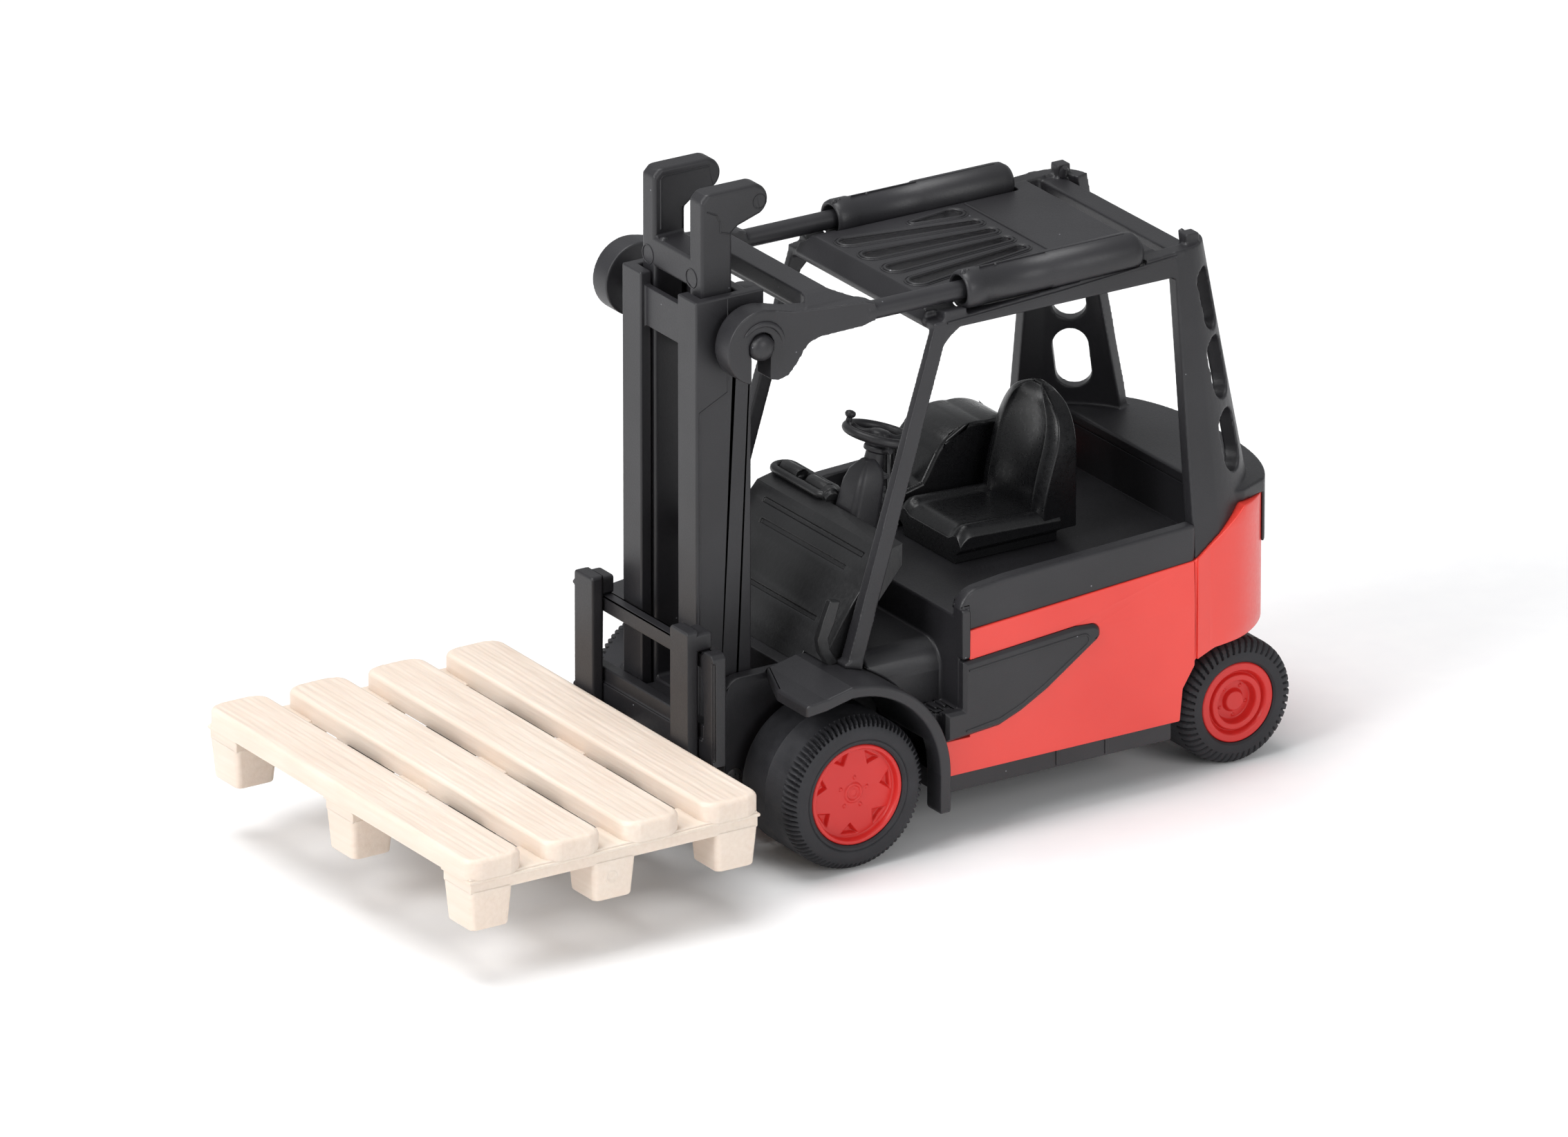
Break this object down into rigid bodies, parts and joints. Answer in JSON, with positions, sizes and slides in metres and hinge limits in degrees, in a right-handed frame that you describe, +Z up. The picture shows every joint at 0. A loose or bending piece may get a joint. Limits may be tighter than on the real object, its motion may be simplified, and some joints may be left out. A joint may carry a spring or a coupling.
{
  "type": "toy forklift truck",
  "caption": "Small counterbalance forklift toy: red body, dark open cab guard, tilting mast with lifting forks, rolling wheels and a loose cream pallet.",
  "frame": {"origin": "on the ground, in the middle of the bounding box", "axes": "+X forward, towards the fork tips; +Y to the driver's left; +Z up"},
  "size_m": [0.0914, 0.0432, 0.0604],
  "materials": {
    "red_paint": "satin",
    "red_plastic": "satin",
    "black_plastic": "satin",
    "black_gloss": "gloss",
    "tyre_rubber": "matte",
    "cream_plastic": "satin",
    "steel": "brushed"
  },
  "bodies": {
    "chassis": {"chassis_base": "black_plastic", "body_shell": "red_paint", "side_panel_left": "black_plastic", "side_panel_right": "black_plastic", "front_fender_left": "black_plastic", "front_fender_right": "black_plastic", "cab_interior": "black_plastic", "front_cowl": "black_plastic", "overhead_guard": "black_plastic", "tilt_cylinder_left": "black_plastic", "tilt_cylinder_right": "black_plastic", "steering_column": "black_plastic", "steering_wheel": "black_plastic", "seat": "black_gloss", "side_console": "black_gloss", "control_levers": "black_gloss", "mast_pivot_pins": "steel", "base_rivets": "steel"},
    "mast": {"outer_mast": "black_plastic"},
    "yoke": {"tilt_yoke": "black_plastic"},
    "lift": {"inner_mast": "black_plastic", "fork_carriage": "black_plastic", "fork_left": "black_plastic", "fork_right": "black_plastic"},
    "pallet": {"pallet": "cream_plastic"},
    "front_wheelset": {"front_axle": "steel", "front_hub_left": "red_plastic", "front_hub_right": "red_plastic", "front_tyre_left": "tyre_rubber", "front_tyre_right": "tyre_rubber"},
    "rear_wheelset": {"rear_axle": "steel", "rear_hub_left": "red_plastic", "rear_hub_right": "red_plastic", "rear_tyre_left": "tyre_rubber", "rear_tyre_right": "tyre_rubber"}
  },
  "joints": [
    {"name": "mast_tilt", "type": "hinge", "parent": "chassis", "child": "mast", "pos_m": [0.0096, 0, 0.007], "axis": [0, 1, 0], "range_deg": [-6, 4]},
    {"name": "yoke_swing", "type": "hinge", "parent": "mast", "child": "yoke", "pos_m": [0.00775, 0, 0.0471], "axis": [0, 1, 0], "range_deg": [-8, 8]},
    {"name": "fork_lift", "type": "slide", "parent": "mast", "child": "lift", "axis": [0, 0, 1], "range_m": [-0.005, 0.028]},
    {"name": "pallet_lift_off", "type": "slide", "parent": "lift", "child": "pallet", "axis": [0, 0, 1], "range_m": [0, 0.03]},
    {"name": "front_wheels", "type": "hinge", "parent": "chassis", "child": "front_wheelset", "pos_m": [0.00275, 0, 0.007], "axis": [0, 1, 0], "continuous": true},
    {"name": "rear_wheels", "type": "hinge", "parent": "chassis", "child": "rear_wheelset", "pos_m": [-0.03865, 0, 0.0058], "axis": [0, 1, 0], "continuous": true}
  ],
  "couplings": [
    {"joint": "yoke_swing", "follows": "mast_tilt", "ratio": -1.12}
  ]
}
